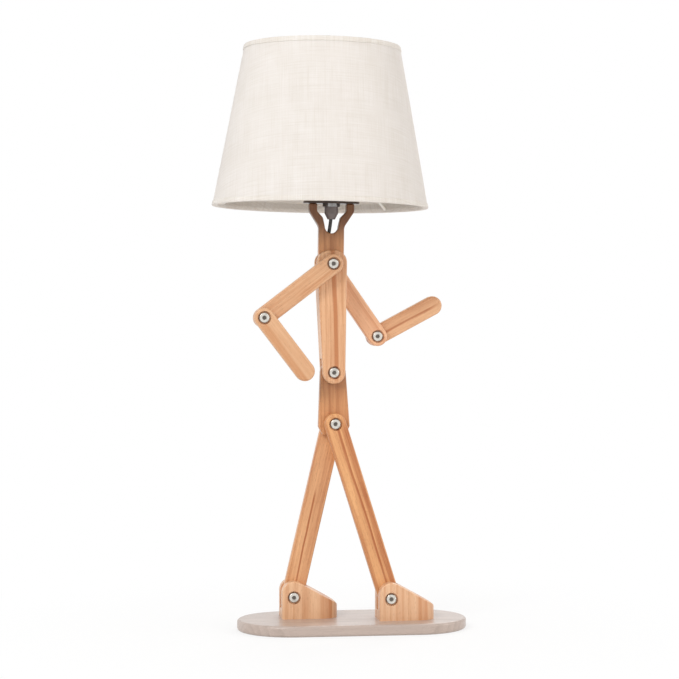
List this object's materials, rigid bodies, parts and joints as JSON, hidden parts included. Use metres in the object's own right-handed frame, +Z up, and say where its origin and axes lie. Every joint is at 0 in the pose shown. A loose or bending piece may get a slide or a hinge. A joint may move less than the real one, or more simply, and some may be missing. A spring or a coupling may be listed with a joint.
{
  "type": "table lamp",
  "caption": "Wooden table lamp shaped as a jointed walking figure, with pivoting arms, waist, hip and neck, on an oval base with a fabric shade as its head.",
  "frame": {"origin": "centre of the base plate's underside", "axes": "+Z up; the figure faces -Y, with the long way of the base along X"},
  "size_m": [0.2362, 0.2, 0.5387],
  "materials": {
    "wood": "clear satin lacquer on pale brown wood",
    "bolt_steel": "turned and plated",
    "zinc_steel": "zinc plated",
    "strap_paint": "black painted",
    "shade_frame": "white coated wire",
    "lampholder_plastic": "black moulded plastic",
    "insert_plastic": "cream moulded insulation",
    "brass": "bright",
    "lead_jacket": "dark grey sheath",
    "bulb_cap_metal": "bright",
    "bulb_glass": "opal",
    "linen": "woven oatmeal linen",
    "lining": "translucent white laminate",
    "hem_cloth": "folded linen strip"
  },
  "bodies": {
    "stand": {"base_plate": "wood", "front_foot": "wood", "rear_foot": "wood", "foot_screws": "zinc_steel", "front_leg": "wood", "rear_leg": "wood", "foot_bolts": "bolt_steel", "foot_nuts": "bolt_steel", "hip_bolt": "bolt_steel", "hip_nut": "bolt_steel", "hip_washers": "zinc_steel"},
    "pelvis": {"pelvis": "wood"},
    "torso": {"torso": "wood", "waist_bolt": "bolt_steel", "waist_nut": "bolt_steel", "waist_washers": "zinc_steel", "shoulder_bolt": "bolt_steel", "shoulder_nut": "bolt_steel", "shoulder_washers": "zinc_steel"},
    "head": {"neck_fork": "wood", "socket_lead": "lead_jacket", "lead_grommet": "lampholder_plastic", "socket_strap": "strap_paint", "strap_screws": "zinc_steel", "socket_nipple": "zinc_steel", "nipple_nut": "zinc_steel", "cord_grip": "lampholder_plastic", "lampholder_cap": "lampholder_plastic", "lampholder_shell": "lampholder_plastic", "contact_insert": "insert_plastic", "centre_contact": "brass", "screw_shell": "brass", "shade_ring_nut": "lampholder_plastic", "bulb_cap": "bulb_cap_metal", "bulb_envelope": "bulb_glass", "shade_cover": "linen", "shade_lining": "lining", "bottom_hem": "hem_cloth", "top_hem": "hem_cloth", "top_ring": "shade_frame", "bottom_ring": "shade_frame", "shade_spider": "shade_frame"},
    "front_upper_arm": {"front_upper_arm": "wood", "front_elbow_bolt": "bolt_steel", "front_elbow_nut": "bolt_steel", "front_elbow_washer": "zinc_steel"},
    "front_forearm": {"front_forearm": "wood"},
    "rear_upper_arm": {"rear_upper_arm": "wood", "rear_elbow_bolt": "bolt_steel", "rear_elbow_nut": "bolt_steel", "rear_elbow_washer": "zinc_steel"},
    "rear_forearm": {"rear_forearm": "wood"}
  },
  "joints": [
    {"name": "hip", "type": "hinge", "parent": "stand", "child": "pelvis", "pos_m": [-0.0171, 0, 0.1899], "axis": [0, 1, 0], "range_deg": [-65, 65]},
    {"name": "waist", "type": "hinge", "parent": "pelvis", "child": "torso", "pos_m": [-0.01801, 0, 0.23709], "axis": [0, -1, 0], "range_deg": [-65, 65]},
    {"name": "neck", "type": "hinge", "parent": "torso", "child": "head", "pos_m": [-0.01992, 0, 0.33697], "axis": [0, 1, 0], "range_deg": [-43, 43]},
    {"name": "front_shoulder", "type": "hinge", "parent": "torso", "child": "front_upper_arm", "pos_m": [-0.01992, 0, 0.33697], "axis": [0, 1, 0], "range_deg": [-128, 61]},
    {"name": "front_elbow", "type": "hinge", "parent": "front_upper_arm", "child": "front_forearm", "pos_m": [-0.08434, 0, 0.28754], "axis": [0, 1, 0], "range_deg": [-39, 220]},
    {"name": "rear_shoulder", "type": "hinge", "parent": "torso", "child": "rear_upper_arm", "pos_m": [-0.01992, 0, 0.33697], "axis": [0, 1, 0], "range_deg": [-44, 110]},
    {"name": "rear_elbow", "type": "hinge", "parent": "rear_upper_arm", "child": "rear_forearm", "pos_m": [0.0263, 0, 0.27021], "axis": [0, 1, 0], "range_deg": [-46, 213]}
  ]
}
